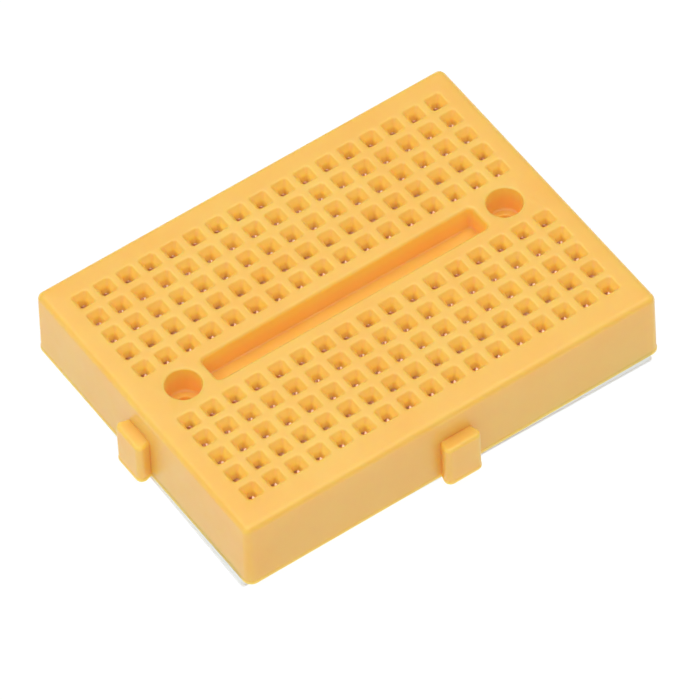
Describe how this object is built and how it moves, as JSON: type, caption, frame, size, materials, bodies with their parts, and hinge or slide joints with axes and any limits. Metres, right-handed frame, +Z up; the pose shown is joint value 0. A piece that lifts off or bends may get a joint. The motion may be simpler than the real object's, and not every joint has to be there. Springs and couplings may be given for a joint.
{
  "type": "solderless breadboard",
  "caption": "Small yellow solderless breadboard: moulded block with a grid of square wire holes, a centre channel, screw holes, dovetail tabs and an adhesive foam base.",
  "frame": {"origin": "centre of the tie-point grid, on the plane the board rests on (the release liner's underside)", "axes": "+X along the 17 columns, +Y across the centre channel, +Z up out of the tie-point face; the dovetail tabs are on -X and -Y"},
  "size_m": [0.0486, 0.037, 0.009],
  "materials": {
    "housing": "fine moulded satin, slightly translucent",
    "contact": "bright tin or nickel plate on a copper alloy spring strip",
    "foam": "closed-cell foam, matte",
    "liner": "siliconised paper, satin"
  },
  "bodies": {
    "board": {"housing": "housing", "contact_clip_01_ae": "contact", "contact_clip_02_ae": "contact", "contact_clip_03_ae": "contact", "contact_clip_04_ae": "contact", "contact_clip_05_ae": "contact", "contact_clip_06_ae": "contact", "contact_clip_07_ae": "contact", "contact_clip_08_ae": "contact", "contact_clip_09_ae": "contact", "contact_clip_10_ae": "contact", "contact_clip_11_ae": "contact", "contact_clip_12_ae": "contact", "contact_clip_13_ae": "contact", "contact_clip_14_ae": "contact", "contact_clip_15_ae": "contact", "contact_clip_16_ae": "contact", "contact_clip_17_ae": "contact", "contact_clip_01_fj": "contact", "contact_clip_02_fj": "contact", "contact_clip_03_fj": "contact", "contact_clip_04_fj": "contact", "contact_clip_05_fj": "contact", "contact_clip_06_fj": "contact", "contact_clip_07_fj": "contact", "contact_clip_08_fj": "contact", "contact_clip_09_fj": "contact", "contact_clip_10_fj": "contact", "contact_clip_11_fj": "contact", "contact_clip_12_fj": "contact", "contact_clip_13_fj": "contact", "contact_clip_14_fj": "contact", "contact_clip_15_fj": "contact", "contact_clip_16_fj": "contact", "contact_clip_17_fj": "contact", "foam_tape": "foam"},
    "liner": {"release_liner": "liner"}
  },
  "joints": [
    {"name": "liner_peel", "type": "slide", "parent": "board", "child": "liner", "axis": [-1, 0, 0], "range_m": [0, 0.047]}
  ]
}
